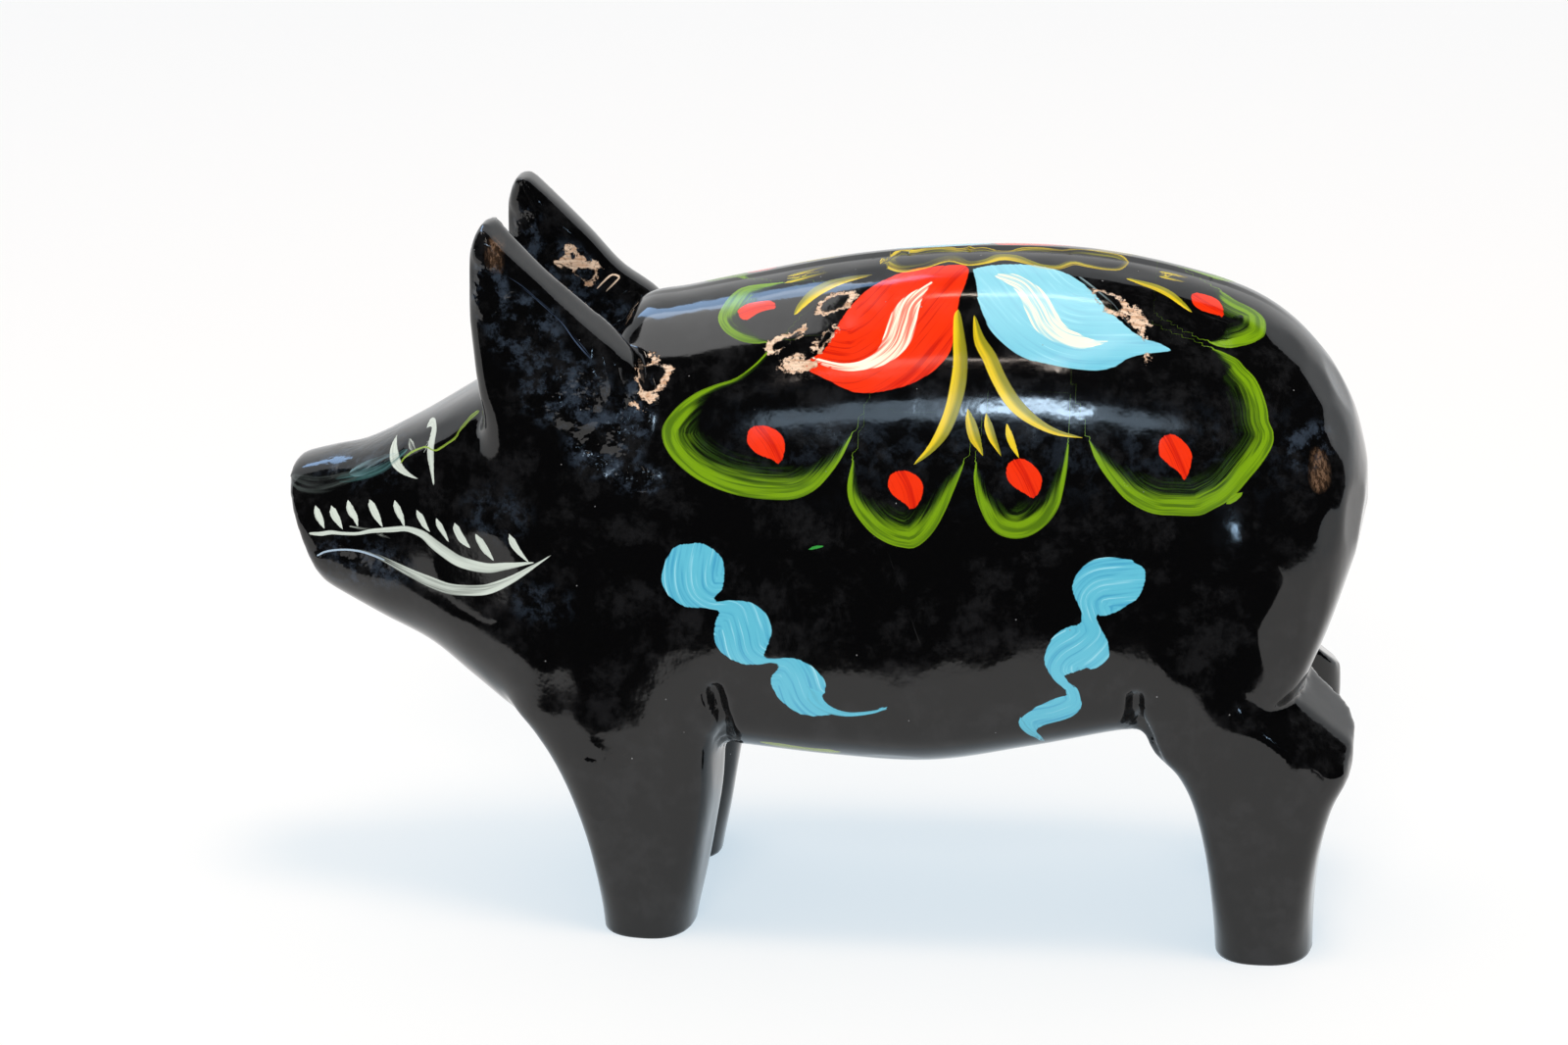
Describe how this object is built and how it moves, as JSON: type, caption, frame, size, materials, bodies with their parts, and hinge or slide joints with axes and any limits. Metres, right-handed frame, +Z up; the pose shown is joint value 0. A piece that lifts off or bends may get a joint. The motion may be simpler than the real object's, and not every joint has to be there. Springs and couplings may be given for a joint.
{
  "type": "wooden pig figurine",
  "caption": "Carved wooden pig standing on short legs, upright ears, black gloss lacquer with hand-painted folk leaves and petals, for display on a shelf or table.",
  "frame": {"origin": "on the ground, under the middle of the figurine's bounding box", "axes": "+X from snout to rump, +Y to the pig's right side, +Z up; the pig faces -X"},
  "size_m": [0.1392, 0.0488, 0.0922],
  "materials": {
    "wooden_pig": "black gloss lacquer with painted ornament and a few bare chips"
  },
  "bodies": {
    "root": {"wooden_pig": "wooden_pig"}
  },
  "joints": []
}
